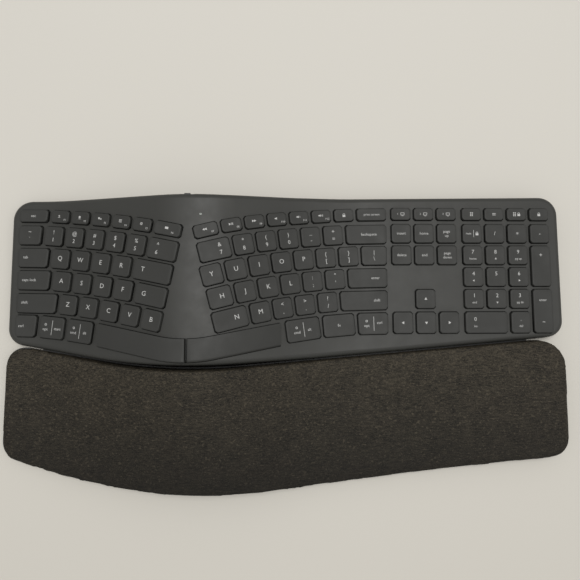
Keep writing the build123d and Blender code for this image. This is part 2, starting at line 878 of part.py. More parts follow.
with BuildPart() as bottom_case:
    with BuildSketch(Plane.XY.offset(foot_height)):
        add(housing_face(0))
        add(palm_face(0))
        add(seam_band(2 * seam_gap))
    extrude(amount=parting_height - foot_height)
    with BuildSketch(Plane.XY.offset(floor_top)):
        add(housing_face(side_wall))
        add(palm_face(side_wall))
    extrude(amount=overrun, mode=Mode.SUBTRACT)
    # Lip that fits inside the housing's wall
    with BuildSketch(Plane.XY.offset(floor_top)):
        add(housing_face(side_wall + lip_clearance))
        add(housing_face(side_wall + lip_clearance + lip_thickness), mode=Mode.SUBTRACT)
    extrude(amount=parting_height + lip_height - floor_top)
    # Wells for the legs
    add(well_block(well_wall, foot_height))
    # Battery bay and posts for the circuit board
    with BuildSketch(Plane.XY.offset(foot_height)):
        with Locations((bay_x, bay_y)):
            Rectangle(door_length + 2 * bay_wall, door_width + 2 * bay_wall)
    extrude(amount=bay_floor + bay_height + bay_wall - foot_height)
    with BuildSketch(Plane.XY.offset(floor_top)):
        with Locations((bay_x, board_y)):
            with GridLocations(*board_corners, 2, 2):
                Circle(board_post_radius)
    extrude(amount=board_height - floor_top)
    with BuildSketch(Plane.XY.offset(bay_floor)):
        with Locations((bay_x, bay_y)):
            Rectangle(bay_length, bay_width)
    extrude(amount=bay_height, mode=Mode.SUBTRACT)
    with BuildSketch():
        with Locations((bay_x, bay_y)):
            Rectangle(door_length, door_width)
    extrude(amount=bay_floor, mode=Mode.SUBTRACT)
    add(well_block(0, 0), mode=Mode.SUBTRACT)
    # Pin holes of the legs
    for place, leg_width, leg_length in legs.values():
        pin_reach = leg_width + 2 * (leg_clearance + leg_pin_length)
        with BuildSketch(Plane.YZ.offset(place - pin_reach / 2)):
            with Locations((leg_hinge_y, leg_axis_height)):
                Circle(leg_pin_radius + leg_pin_clearance)
        extrude(amount=pin_reach, mode=Mode.SUBTRACT)
    # Seats of the rubber feet, and countersunk screw holes
    with BuildSketch():
        with Locations(*foot_places):
            SlotOverall(foot_length, foot_width)
    extrude(amount=foot_height + foot_sink, mode=Mode.SUBTRACT)
    with BuildSketch():
        with Locations(*post_places):
            Circle(post_hole_radius)
    extrude(amount=parting_height, mode=Mode.SUBTRACT)
    with BuildSketch():
        with Locations(*post_places):
            Circle(screw_head_radius + screw_head_clearance)
    extrude(amount=foot_height + screw_head_height, mode=Mode.SUBTRACT)
finish(bottom_case, "bottom_case")

with BuildPart() as rubber_feet:
    with BuildSketch():
        with Locations(*foot_places):
            SlotOverall(foot_length, foot_width)
    extrude(amount=foot_height + foot_sink)
finish(rubber_feet, "rubber_feet")

with BuildPart() as screws:
    with BuildSketch(Plane.XY.offset(foot_height)):
        with Locations(*post_places):
            Circle(screw_head_radius)
    extrude(amount=screw_head_height)
    with BuildSketch(Plane.XY.offset(foot_height)):
        with Locations(*post_places):
            Circle(screw_radius)
    extrude(amount=screw_length)
finish(screws, "screws")

# Flip legs with their pins, each lying flat in its well
for leg_name, (place, leg_width, leg_length) in legs.items():
    with BuildPart() as leg:
        with BuildSketch(Plane.YZ.offset(place - leg_width / 2)):
            with Locations((leg_hinge_y + (leg_length - leg_thickness) / 2, leg_axis_height)):
                SlotOverall(leg_length, leg_thickness)
        extrude(amount=leg_width)
        with BuildSketch():
            with Locations((place, leg_hinge_y + leg_length / 2)):
                Rectangle(leg_width * leg_slot_width_share, leg_length * leg_slot_length_share)
        extrude(amount=parting_height + leg_thickness, mode=Mode.SUBTRACT)
        pin_reach = leg_width + 2 * (leg_clearance + leg_pin_length - leg_pin_clearance)
        with BuildSketch(Plane.YZ.offset(place - pin_reach / 2)):
            with Locations((leg_hinge_y, leg_axis_height)):
                Circle(leg_pin_radius)
        extrude(amount=pin_reach)
    finish(leg, leg_name)

# Battery door, cells and their contacts
with BuildPart() as battery_door:
    with BuildSketch(Plane.XY.offset(foot_height)):
        with Locations((bay_x, bay_y)):
            RectangleRounded(
                door_length - 2 * door_clearance, door_width - 2 * door_clearance, door_clearance
            )
    extrude(amount=door_thickness)
    with BuildSketch(Plane.XY.offset(foot_height)):
        with Locations((bay_x, bay_y - door_width / 2 + door_margin + door_grip_length / 2)):
            SlotOverall(door_grip_width, door_grip_length)
    extrude(amount=door_grip_depth, mode=Mode.SUBTRACT)
finish(battery_door, "battery_door")

cell_height = bay_floor + cell_diameter / 2
cell_sides = ((-1, bay_y - cell_spacing / 2), (1, bay_y + cell_spacing / 2))
with BuildPart() as batteries:
    for cell_hand, cell_y in cell_sides:
        for radius, length in (
            (cell_diameter / 2, cell_length - cell_button_length),
            (cell_button_radius, cell_length),
        ):
            with BuildSketch(Plane.YZ.offset(bay_x - cell_hand * cell_length / 2)):
                with Locations((cell_y, cell_height)):
                    Circle(radius)
            extrude(amount=cell_hand * length)
finish(batteries, "batteries")

with BuildPart() as battery_contacts:
    for end in (-1, 1):
        with BuildSketch(Plane.YZ.offset(bay_x + end * cell_length / 2)):
            with Locations(*((cell_y, cell_height) for _, cell_y in cell_sides)):
                Rectangle(contact_width, contact_height)
        extrude(amount=end * contact_thickness)
finish(battery_contacts, "battery_contacts")

with BuildPart() as circuit_board:
    with BuildSketch(Plane.XY.offset(board_height)):
        with Locations((bay_x, board_y)):
            Rectangle(board_length, board_width)
    extrude(amount=board_thickness)
    with BuildSketch(Plane.XY.offset(board_height + board_thickness)):
        with Locations((bay_x, board_y)):
            with GridLocations(board_length / 3, 0, 3, 1):
                Rectangle(chip_size, chip_size)
    extrude(amount=chip_height)
finish(circuit_board, "circuit_board")

# Power switch and status light
wall_lean = tan(radians(wall_draft))
switch_wall_y = switch_edge_y - (switch_height - parting_height) * wall_lean
with BuildPart() as power_switch:
    knob_x = switch_x - (switch_slot_length - switch_knob_length) / 2 + switch_clearance
    flange_y = switch_wall_y - side_wall - 2 * switch_clearance
    with BuildSketch(Plane.XZ.offset(-flange_y + switch_flange_thickness)):
        with Locations((knob_x, switch_height - switch_flange_drop)):
            Rectangle(switch_flange_length, switch_flange_height)
    extrude(amount=-switch_flange_thickness)
    with BuildSketch(Plane.XZ.offset(-flange_y)):
        with Locations((knob_x, switch_height)):
            Rectangle(switch_knob_length, switch_slot_height - 2 * switch_clearance)
    extrude(amount=-(switch_wall_y + switch_knob_rise - flange_y))
finish(power_switch, "power_switch")

with BuildPart() as status_light:
    light_top = deck_height(light_x, light_y) - light_clearance
    with BuildSketch(Plane.XY.offset(light_top - deck_wall)):
        with Locations((light_x, light_y)):
            Circle(light_radius)
    extrude(amount=deck_wall)
finish(status_light, "status_light")

# Axes and limits of what moves, in the part's own frame
for key_name, key_axis in slide_axes.items():
    print("slide", key_name, *(round(part, 5) for part in key_axis * -1), key_travel)
switch_travel = switch_slot_length - switch_knob_length - 2 * switch_clearance
print("slide power_switch 1 0 0", round(switch_travel, 3))
print("slide battery_door 0 0 -1")
for leg_name, (place, leg_width, leg_length) in legs.items():
    print("hinge", leg_name, place, leg_hinge_y, leg_axis_height, leg_open_angle)
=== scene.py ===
"""Split ergonomic keyboard: caps, legends, palm pad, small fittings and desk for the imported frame."""

import json
import math

import bmesh
import bpy
from bpy.props import FloatProperty, FloatVectorProperty, IntProperty, PointerProperty
from mathutils import Matrix, Vector
from mathutils.bvhtree import BVHTree


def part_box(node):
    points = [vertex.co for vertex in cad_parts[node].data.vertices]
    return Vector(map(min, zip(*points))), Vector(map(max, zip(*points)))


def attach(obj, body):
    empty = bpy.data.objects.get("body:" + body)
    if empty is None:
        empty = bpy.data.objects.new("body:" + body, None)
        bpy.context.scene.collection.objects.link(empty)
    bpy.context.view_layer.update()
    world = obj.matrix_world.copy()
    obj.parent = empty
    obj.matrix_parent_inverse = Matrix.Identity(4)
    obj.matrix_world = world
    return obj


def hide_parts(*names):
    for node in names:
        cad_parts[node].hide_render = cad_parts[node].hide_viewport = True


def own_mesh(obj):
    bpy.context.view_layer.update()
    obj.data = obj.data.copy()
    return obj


bl_info = {
    "name": "Split keyboard",
    "version": (1, 1, 0),
    "blender": (4, 5, 0),
    "location": "View3D > Sidebar > Keyboard",
    "description": "Dresses the packed frame of a split keyboard with its palm rest",
    "category": "Object",
}

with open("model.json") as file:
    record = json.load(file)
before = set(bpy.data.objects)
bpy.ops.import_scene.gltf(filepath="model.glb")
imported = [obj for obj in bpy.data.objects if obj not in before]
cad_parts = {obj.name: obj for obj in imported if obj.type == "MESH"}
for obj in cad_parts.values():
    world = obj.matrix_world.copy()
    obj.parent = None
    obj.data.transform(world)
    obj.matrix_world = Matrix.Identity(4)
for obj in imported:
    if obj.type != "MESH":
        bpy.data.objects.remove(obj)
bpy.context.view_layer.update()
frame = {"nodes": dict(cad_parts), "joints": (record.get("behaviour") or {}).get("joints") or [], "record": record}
nodes = frame["nodes"]

MM = 0.001
IMAGE_SIDE = 580

# Camera fitted to the photograph: place in metres, turns in radians, focal length in pixels
CAMERA_PLACE = (-0.014447, -0.008073, 0.450776)
CAMERA_TURNS = (0.112139, -0.035008, -0.001977)
CAMERA_FOCAL = 537.13
SENSOR_WIDTH = 36.0

LETTER_KEYS = [f"key_{letter}" for letter in "qwertasdfgzxcvbyuiophjklnm"]
BLOCK_KEYS = [
    "function_keys_left", "number_keys_left", "edge_keys_left", "function_keys_right",
    "number_keys_right", "edge_keys_right", "punctuation_keys", "navigation_keys",
    "arrow_keys", "number_pad_keys",
]
SPACE_BARS = ["space_bar_left", "space_bar_right"]

# How far up a face looks: 1 straight up, 0 level, -1 straight down
UPWARD = 0.8
DOWNWARD = -0.5
# Cap faces that look up less than CAP_TOP take the near-black skirt material as painted shade
CAP_TOP = 0.96
PAD_TOP = 0.975
UNDERSIDE = -0.97

# Least distance between two rows of caps, and how far each ring of a dished top reaches
ROW_GAP = 9 * MM
DISH_RINGS = (0.86, 0.7, 0.52, 0.34, 0.16)

# Plastics and rubbers by slot: tone, roughness, then size and depth of the grain in millimetres
MOULDED = {
    "housing": ((0.0300, 0.0303, 0.0268), 0.52, 0.32, 0.012),
    "base": ((0.030, 0.030, 0.029), 0.6, 0.5, 0.02),
    "dome_rubber": ((0.006, 0.006, 0.006), 0.7, 0.6, 0.01),
    "contact_film": ((0.05, 0.05, 0.05), 0.3, 1.0, 0.004),
    "foot_rubber": ((0.014, 0.014, 0.014), 0.8, 0.4, 0.02),
    "light": ((0.10, 0.12, 0.10), 0.2, 0.8, 0.002),
    "switch": ((0.010, 0.010, 0.010), 0.5, 0.3, 0.01),
    "leg": ((0.022, 0.022, 0.022), 0.58, 0.5, 0.02),
}
MOTTLING = 0.06

# Metals by slot: tone, roughness and how far the drawn lines are stretched
METALS = {
    "plate_steel": ((0.42, 0.42, 0.43), 0.4, (14, 1, 1)),
    "screw_steel": ((0.18, 0.18, 0.19), 0.4, (1, 1, 1)),
    "spring_metal": ((0.62, 0.60, 0.56), 0.3, (14, 1, 1)),
}


def length(name, description, millimetres):
    """Property that holds a length, given in millimetres."""
    return FloatProperty(
        name=name, description=description, default=millimetres * MM, precision=5,
        unit="LENGTH", subtype="DISTANCE",
    )


def colour(name, description, shade):
    """Property that holds a linear colour."""
    return FloatVectorProperty(
        name=name, description=description, default=shade, min=0, max=1, size=3, subtype="COLOR"
    )


class CapSettings(bpy.types.PropertyGroup):
    """Shape and colours of the caps."""

    dish: length("Dish", "How deep the middle of a cap's top lies", 0.3)
    edge: length("Edge rounding", "Rounding between a cap's top and its sides", 0.5)
    corner: length("Corner rounding", "Rounding of a cap's upright corners", 0.6)
    bar_edge: length("Space bar edge", "Rounding of the space bars' rolled long edges", 3.0)
    bar_end: length("Space bar end", "Rounding of the space bars' other edges", 0.5)
    ink_rise: length("Ink rise", "How far the legends stand off the caps", 0.03)
    cap: colour("Cap", "Plastic of the caps' tops", (0.0250, 0.0254, 0.0228))
    # The skirt tone is near-black: painted shade of the gaps round the caps, on their sides and top edges.
    painted_shade_skirt: colour("Skirt", "Plastic of the caps' sides", (0.0045, 0.0045, 0.0046))
    ink: colour("Ink", "Print of the legends", (0.50, 0.50, 0.49))


class DomeSettings(bpy.types.PropertyGroup):
    """Rubber domes under the keys."""

    base: length("Base radius", "Radius of a dome at its sheet", 3.0)
    tip: length("Tip radius", "Radius of a dome under its cap", 1.9)
    height: length("Height", "Height of a dome", 4.1)
    depth: length("Depth", "How far a dome's tip lies under its cap's top", 1.05)
    travel: length("Travel", "How far a dome gives way when its key is pressed", 1.9)
    sheet: length("Sheet", "Thickness of the sheet that the domes stand on", 0.3)


class PalmSettings(bpy.types.PropertyGroup):
    """Padding and knit of the palm rest."""

    voxel: length("Remesh size", "Size of the voxels that the pad is remeshed with", 4.0)
    stand_off: length("Stand-off", "How far the pad is blown up before it settles on its skin", 3.0)
    sink: length("Sink", "How far under its skin the pad starts, to leave room to swell", 0.4)
    largest_move: length("Largest move", "How far the cloth may lift the pad", 0.8)
    foam_gap: length("Foam gap", "Room between the pad and its rigid base", 0.2)
    deeper: length("Deeper", "How much deeper the pad is made while it is remeshed", 8.0)
    low_part: length("Low part", "Height over the hem that gives that depth back", 3.0)
    pressure: FloatProperty(name="Pressure", description="Pressure inside the cloth", default=4.0)
    frames: IntProperty(name="Frames", description="Frames that the cloth runs for", default=20)
    dark_yarn: colour("Dark yarn", "Darkest yarn of the knit", (0.0040, 0.0034, 0.0022))
    pale_yarn: colour("Pale yarn", "Palest yarn of the knit", (0.0700, 0.0585, 0.0400))


class StageSettings(bpy.types.PropertyGroup):
    """Desk and light."""

    # Painted shade: the desk runs from a darker front tone to a paler back tone, standing in for light that falls
    # off towards the front.
    desk_front_painted_shade: colour("Desk in front", "Laminate of the desk's front", (0.600, 0.575, 0.518))
    desk_back_painted_light: colour("Desk behind", "Laminate of the desk's back", (0.680, 0.658, 0.605))
    room: FloatProperty(name="Room", description="Strength of the room's light", default=0.5)
    ceiling_power: FloatProperty(
        name="Ceiling light", description="Power of the light overhead", default=19.0, unit="POWER"
    )
    side_power: FloatProperty(
        name="Side light", description="Power of the light at the right", default=7.0, unit="POWER"
    )


# Shader expressions


class Value:
    """Socket of a finish that takes part in sums."""

    def __init__(self, finish, socket):
        self.finish = finish
        self.socket = socket

    def sum(self, operation, first, second):
        """Result of a Math node on two values."""
        return self.finish.node("ShaderNodeMath", {"operation": operation}, {0: first, 1: second})

    def __add__(self, other):
        return self.sum("ADD", self, other)

    def __sub__(self, other):
        return self.sum("SUBTRACT", self, other)

    def __rsub__(self, other):
        return self.sum("SUBTRACT", other, self)

    def __mul__(self, other):
        return self.sum("MULTIPLY", self, other)

    __radd__ = __add__
    __rmul__ = __mul__


class Finish:
    """Principled material whose colour, roughness and relief are expressions."""

    def __init__(self, name, roughness=0.5, **constants):
        self.material = bpy.data.materials.new(name)
        self.material.use_nodes = True
        self.tree = self.material.node_tree
        self.shader = self.tree.nodes["Principled BSDF"]
        self.feed("Roughness", roughness)
        for socket, number in constants.items():
            self.feed(socket.replace("_", " "), number)
        self.place = self.node("ShaderNodeTexCoord", {}, {}, "Object")

    def node(self, kind, settings, values, output=0):
        """Adds a node with its settings, then its sockets' values or links."""
        node = self.tree.nodes.new(kind)
        for name, setting in settings.items():
            setattr(node, name, setting)
        for socket, value in values.items():
            self.join(node.inputs[socket], value)
        return Value(self, node.outputs[output])

    def join(self, socket, value):
        """Links a socket to a value, or sets it to a number."""
        if isinstance(value, Value):
            self.tree.links.new(value.socket, socket)
        else:
            socket.default_value = value

    def feed(self, name, value):
        """Feeds one of the shader's sockets."""
        self.join(self.shader.inputs[name], value)

    def scaled(self, grain, stretch=(1, 1, 1)):
        """Place measured in grains of so many millimetres."""
        shares = tuple(1 / (grain * MM * part) for part in stretch)
        values = {0: self.place, 1: shares}
        return self.node("ShaderNodeVectorMath", {"operation": "MULTIPLY"}, values)

    def noise(self, grain, detail=2.0, roughness=0.5, stretch=(1, 1, 1)):
        """Noise whose grains are so many millimetres wide."""
        place = self.scaled(grain, stretch)
        values = {"Vector": place, "Scale": 1, "Detail": detail, "Roughness": roughness}
        return self.node("ShaderNodeTexNoise", {}, values)

    def span(self, value, low, high, to_low=0.0, to_high=1.0):
        """Value carried from one range to another and held at both ends."""
        values = {
            "Value": value, "From Min": low, "From Max": high, "To Min": to_low, "To Max": to_high,
        }
        return self.node("ShaderNodeMapRange", {}, values)

    def axis(self, name):
        """Place along one axis, in metres."""
        return self.node("ShaderNodeSeparateXYZ", {}, {"Vector": self.place}, name)

    def threads(self, pitch, axis):
        """Wave from -1 to 1 of threads that lie across an axis, at a pitch in millimetres."""
        turns = self.axis(axis) * (2 * math.pi / (pitch * MM))
        return self.node("ShaderNodeMath", {"operation": "SINE"}, {0: turns})

    def mix(self, share, first, second):
        """Colour between two colours."""
        settings = {"data_type": "RGBA"}
        return self.node("ShaderNodeMix", settings, {0: share, 6: first, 7: second}, 2)

    def relief(self, height, depth):
        """Feeds the normal with a height whose unit is a depth in millimetres."""
        values = {"Height": height, "Distance": depth * MM, "Strength": 1.0}
        self.feed("Normal", self.node("ShaderNodeBump", {}, values))


def shade(tone, share=1.0):
    """Linear colour with its alpha, scaled by a share."""
    return tuple(part * share for part in tone) + (1.0,)


def moulded(name, tone, roughness, grain, depth, **constants):
    """Moulded plastic or rubber: fine spark-eroded grain, faint clouds and smudged gloss."""
    finish = Finish(name, roughness, **constants)
    cloud = finish.noise(24, 3)
    dark, pale = shade(tone, 1 - MOTTLING), shade(tone, 1 + MOTTLING)
    finish.feed("Base Color", finish.mix(cloud, dark, pale))
    smudge = finish.noise(11, 4, 0.6)
    finish.feed("Roughness", roughness + (smudge - 0.5) * 0.22)
    finish.relief(finish.noise(grain, 3, 0.6), depth)
    return finish.material


def metal(name, tone, roughness, stretch):
    """Rolled or plated metal with fine drawn lines."""
    finish = Finish(name, roughness, Metallic=1.0)
    lines = finish.noise(0.25, 3, 0.6, stretch)
    finish.feed("Base Color", finish.mix(lines, shade(tone, 0.86), shade(tone, 1.1)))
    finish.feed("Roughness", roughness + (lines - 0.5) * 0.3)
    finish.relief(lines, 0.004)
    return finish.material


def knit(name, dark, pale):
    """Melange knit: dark and pale yarns that cross at under a millimetre, with painted shade that darkens the knit
    towards the pad's front and lightens it towards its back.
    """
    finish = Finish(name, 0.6, Specular_IOR_Level=0.25)
    weave = (finish.threads(0.92, "X") * finish.threads(0.8, "Y") + 1) * 0.5
    fleck = finish.span(finish.noise(0.8, 1, 0.5), 0.42, 0.66)
    streak = finish.span(finish.noise(0.9, 1, 0.5, (5, 1, 1)), 0.36, 0.7)
    blotch = finish.span(finish.noise(14, 3, 0.55), 0.3, 0.7)
    speck = finish.span(finish.noise(1.5, 0, 0.5, (1.4, 1, 1)), 0.68, 0.76)
    # Painted shade: the yarn darkens towards the pad's front and lightens towards its back along Y, standing in
    # for light that falls off towards the front.
    painted_front_shade = finish.span(finish.axis("Y"), -0.125, 0.0, 0.22, 1.45)
    yarn = (fleck * 0.34 + streak * 0.4 + blotch * 0.2 + speck * 0.7) * painted_front_shade
    melange = finish.mix(yarn, shade(dark), shade(pale))
    finish.feed("Base Color", finish.mix(weave * 0.3, melange, shade(dark)))
    finish.feed("Roughness", 0.7 - fleck * 0.1)
    finish.relief(fleck * 0.5 - weave * 0.7, 0.16)
    return finish.material


def board_mask(name):
    """Solder mask with fine copper tracks under it."""
    finish = Finish(name, 0.35, Coat_Weight=0.3)
    lines = finish.span(finish.threads(1.3, "X"), 0.4, 0.6)
    tracks = lines * finish.span(finish.noise(5, 1), 0.45, 0.5)
    mask, copper = (0.01, 0.075, 0.03, 1), (0.03, 0.16, 0.06, 1)
    finish.feed("Base Color", finish.mix(tracks, mask, copper))
    finish.relief(tracks, 0.03)
    return finish.material


def cell_wrap(name):
    """Sleeve of a cell: a dark can with a pale band at one end."""
    finish = Finish(name, 0.3, Coat_Weight=0.4)
    low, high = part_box("batteries")
    start = low.x + (high.x - low.x) * 0.7
    band = finish.span(finish.axis("X"), start, start + 0.5 * MM)
    sleeve, pale_end = (0.02, 0.022, 0.025, 1), (0.45, 0.30, 0.08, 1)
    finish.feed("Base Color", finish.mix(band, sleeve, pale_end))
    finish.relief(finish.noise(0.6, 2), 0.004)
    return finish.material


def finish_for(slot):
    """Material of one of the record's slots, made when it is first asked for."""
    name = slot + "_finish"
    if name in bpy.data.materials:
        return bpy.data.materials[name]
    if slot in MOULDED:
        return moulded(name, *MOULDED[slot])
    if slot in METALS:
        return metal(name, *METALS[slot])
    caps = bpy.context.scene.keyboard_caps
    palm = bpy.context.scene.keyboard_palm
    makers = {
        "keycap": lambda: moulded(name, caps.cap, 0.6, 0.22, 0.006),
        "painted_shade_skirt": lambda: moulded(name, caps.painted_shade_skirt, 0.7, 0.22, 0.006, Specular_IOR_Level=0.2),
        "ink": lambda: moulded(name, caps.ink, 0.6, 0.3, 0.003),
        "palm_fabric": lambda: knit(name, palm.dark_yarn, palm.pale_yarn),
        "cell_can": lambda: cell_wrap(name),
        "board": lambda: board_mask(name),
    }
    return makers[slot]()


def paint(piece, *slots):
    """Gives a piece one material for each slot named."""
    piece.data.materials.clear()
    for slot in slots:
        piece.data.materials.append(finish_for(slot))


def paint_nodes(slots):
    """Gives every carried-over node with one of these slots its material."""
    for part in frame["record"]["subparts"]:
        if part["material_slot"] in slots:
            paint(nodes[part["node"]], part["material_slot"])


# Meshes


def piece_from(name, bm, body, slots, smooth_angle=None):
    """Object made from a bmesh, painted, riding on a body."""
    mesh = bpy.data.meshes.new(name)
    bm.to_mesh(mesh)
    bm.free()
    piece = bpy.data.objects.new(name, mesh)
    bpy.context.scene.collection.objects.link(piece)
    if smooth_angle is not None:
        mesh.shade_smooth()
        mesh.set_sharp_from_angle(angle=math.radians(smooth_angle))
    paint(piece, *slots)
    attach(piece, body)
    return piece


def joined(node):
    """Copy of a node's mesh with its corners joined."""
    bm = bmesh.new()
    bm.from_mesh(node.data)
    bmesh.ops.remove_doubles(bm, verts=bm.verts, dist=0.001 * MM)
    return bm


def merged(node):
    """Copy of a node's mesh with its corners joined and its flat faces whole."""
    bm = joined(node)
    bmesh.ops.dissolve_limit(
        bm, angle_limit=math.radians(0.3), verts=bm.verts, edges=bm.edges,
        use_dissolve_boundaries=False,
    )
    return bm


def islands(bm):
    """Groups of faces that hang together."""
    left = set(bm.faces)
    groups = []
    while left:
        group = [left.pop()]
        for face in group:
            near = {other for edge in face.edges for other in edge.link_faces} & left
            left -= near
            group.extend(near)
        groups.append(group)
    return groups


def top_of(group):
    """A cap's top: the largest of its faces that look up."""
    upward = (face for face in group if face.normal.z > UPWARD)
    return max(upward, key=lambda face: face.calc_area())


def tops(bm):
    """Top of each cap of a mesh."""
    return [top_of(group) for group in islands(bm)]


def round_edges(bm, edges, width, segments):
    """Rounds edges to a width."""
    bmesh.ops.bevel(
        bm, geom=edges, offset=width, offset_type="OFFSET", segments=segments, profile=0.5,
        affect="EDGES", clamp_overlap=True, material=-1,
    )


def bake(piece):
    """Applies a piece's modifiers."""
    bpy.context.view_layer.update()
    graph = bpy.context.evaluated_depsgraph_get()
    mesh = bpy.data.meshes.new_from_object(piece.evaluated_get(graph))
    piece.modifiers.clear()
    piece.data = mesh


# Caps


def cap_place(top):
    """Matrix of a cap's own frame: X along its row, Z out of its top, origin in the top's middle."""
    level_sides = [edge for edge in top.edges if abs(side_of(edge).x) > abs(side_of(edge).y)]
    along = side_of(max(level_sides, key=lambda edge: edge.calc_length()))
    normal = top.normal.copy()
    across = normal.cross(along).normalized()
    along = across.cross(normal)
    turned = Matrix((along, across, normal))
    flat = [turned @ vert.co for vert in top.verts]
    middle = turned.transposed() @ Vector(middle_of(flat))
    return Matrix.Translation(middle) @ turned.transposed().to_4x4()


def middle_of(spots):
    """Middle of the box round some spots."""
    ranges = [[spot[axis] for spot in spots] for axis in range(3)]
    return [(min(numbers) + max(numbers)) / 2 for numbers in ranges]


def side_of(edge):
    """Direction of an edge, taken from left to right."""
    side = edge.verts[1].co - edge.verts[0].co
    return side if side.x > 0 else -side


def cap_rows(name):
    """Frames of a node's caps, row by row from the back and from left to right."""
    bm = merged(nodes[name])
    places = [cap_place(top) for top in tops(bm)]
    places.sort(key=lambda place: -place.translation.y)
    bm.free()
    rows = []
    for place in places:
        if rows and rows[-1][-1].translation.y - place.translation.y < ROW_GAP:
            rows[-1].append(place)
        else:
            rows.append([place])
    return [sorted(row, key=lambda place: place.translation.x) for row in rows]


def dish_top(bm, top, depth):
    """Sinks a cap's top in rings towards its middle."""
    middle, normal = top.calc_center_bounds(), top.normal.copy()
    reach = 1.0
    for share in DISH_RINGS:
        top = bmesh.ops.extrude_discrete_faces(bm, faces=[top])["faces"][0]
        space = Matrix.Translation(-middle)
        bmesh.ops.scale(bm, vec=(share / reach,) * 3, space=space, verts=top.verts)
        sink = normal * depth * (reach**2 - share**2)
        bmesh.ops.translate(bm, vec=-sink, verts=top.verts)
        middle -= sink
        reach = share


def paint_side_shade(bm):
    """Gives the sides and the top edges' rounding of every cap the second, near-black material: painted shade of
    the gaps between the caps.
    """
    for group in islands(bm):
        axis = top_of(group).normal
        for face in group:
            face.material_index = int(face.normal.dot(axis) < CAP_TOP)


def make_caps(name, settings):
    """Caps of a node with rounded corners and edges and dished tops."""
    bm = merged(nodes[name])
    uprights = [
        edge for top in tops(bm) for vert in top.verts
        for edge in vert.link_edges if edge not in top.edges[:]
    ]
    round_edges(bm, uprights, settings.corner, 3)
    round_edges(bm, [edge for top in tops(bm) for edge in top.edges], settings.edge, 3)
    for top in tops(bm):
        dish_top(bm, top, settings.dish)
    paint_side_shade(bm)
    caps = piece_from("Cap_" + name, bm, name, ("keycap", "painted_shade_skirt"), 50)
    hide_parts(name)


def above(edge):
    """Whether an edge borders a face that looks up, and none that looks down."""
    looks = [face.normal.z for face in edge.link_faces]
    return len(looks) == 2 and max(looks) > UPWARD and min(looks) > DOWNWARD


def make_space_bar(name, settings):
    """Space bar whose long front edge rolls over."""
    bm = merged(nodes[name])
    front = [
        edge for edge in bm.edges
        if above(edge) and sum(face.normal.z > UPWARD for face in edge.link_faces) == 1
        and abs(side_of(edge).normalized().y) < 0.7
        and min(edge.link_faces, key=lambda face: face.normal.z).normal.y < 0
    ]
    round_edges(bm, front, settings.bar_edge, 6)
    sharp = [
        edge for edge in bm.edges
        if above(edge) and edge.calc_face_angle() > math.radians(50)
    ]
    round_edges(bm, sharp, settings.bar_end, 3)
    # Painted shade: the space bar's sides, all but the rolled front, get the near-black skirt material.
    for face in bm.faces:
        rolled = face.normal.y < -0.2 and face.normal.z > 0.3
        face.material_index = int(face.normal.z < 0.9 and not rolled)
    bar = piece_from("Cap_" + name, bm, name, ("keycap", "painted_shade_skirt"), 40)
    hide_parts(name)


# Domes


def press_joint(name):
    """Joint that presses a node's keys."""
    return next(joint for joint in frame["joints"] if joint["child"] == name)


def make_domes(name, settings):
    """Domes of a node's keys, standing along the axis of the joint that presses them."""
    up = -Vector(press_joint(name)["axis"])
    places = [place.translation for row in cap_rows(name) for place in row]
    bases = [place - up * (settings.depth + settings.height) for place in places]
    turn = up.to_track_quat("Z", "Y").to_matrix().to_4x4()
    bm = bmesh.new()
    for base in bases:
        cone = bmesh.ops.create_cone(
            bm, cap_ends=True, segments=10, depth=settings.height,
            radius1=settings.base, radius2=settings.tip,
        )["verts"]
        place = Matrix.Translation(base + up * settings.height / 2) @ turn
        bmesh.ops.transform(bm, matrix=place, verts=cone)
    domes = piece_from("Domes_" + name, bm, "housing", ("dome_rubber",), 40)
    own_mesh(domes)


# Legends: each mark is a kind, its measures, and its place on the cap in millimetres


WORD = 3.2
DIGIT = 4.5
CAPTION = 2.6
SMALL = 2.2


def text(words, u=0.0, v=0.0, size=WORD):
    """Words of a size."""
    return [("text", (words, size), u, v)]


def bar(width, height, u=0.0, v=0.0):
    """Filled rectangle."""
    return [("bar", (width, height), u, v)]


def disc(radius, u=0.0, v=0.0):
    """Filled circle."""
    return [("disc", (radius, 0), u, v)]


def ring(radius, hole, u=0.0, v=0.0):
    """Circle with a hole of a radius."""
    return [("disc", (radius, hole), u, v)]


def arrow(turn, size, u=0.0, v=0.0):
    """Arrowhead, turned so many degrees from pointing right."""
    return [("arrow", (turn, size), u, v)]


def pair(top, bottom, u=0.0, size=DIGIT, gap=3.0):
    """Two signs, one over the other."""
    return text(top, u, gap, size) + text(bottom, u, -gap, size)


def halves(left, right, left_drop=-1.6, right_drop=-0.6):
    """Words for two systems on one cap, parted by a thin line, with a small ring over the first."""
    mark = ring(0.95, 0.55, -5.3, 2.2)
    return mark + text(left, -5.3, left_drop) + bar(0.35, 11.5, 0.5) + text(right, 5.2, right_drop)


def padlock(u=0.0, v=0.0):
    """Small closed lock."""
    return bar(2.3, 1.6, u, v - 0.7) + ring(1.0, 0.62, u, v + 0.45)


def grid(u=0.0, v=0.0):
    """Six small blocks in two columns."""
    places = [(u + x, v + y) for x in (-0.7, 0.7) for y in (-1.2, 0, 1.2)]
    return [mark for place in places for mark in bar(0.9, 0.8, *place)]


def device(u=0.0, v=0.0):
    """Outline of a small screen on a foot."""
    level = bar(3.0, 0.35, u, v + 1.0) + bar(3.0, 0.35, u, v - 0.9)
    upright = bar(0.35, 2.0, u - 1.4, v) + bar(0.35, 2.0, u + 1.4, v)
    return level + upright + bar(1.6, 0.35, u, v - 1.6)


def pad_key(sign, word="", turn=None, u=0.0):
    """Sign of the number block over a word or an arrow."""
    marks = text(sign, u, 2.6, DIGIT)
    if word:
        marks += text(word, u, -3.0, CAPTION)
    if turn is not None:
        marks += arrow(turn, 1.7, u, -3.0)
    return marks


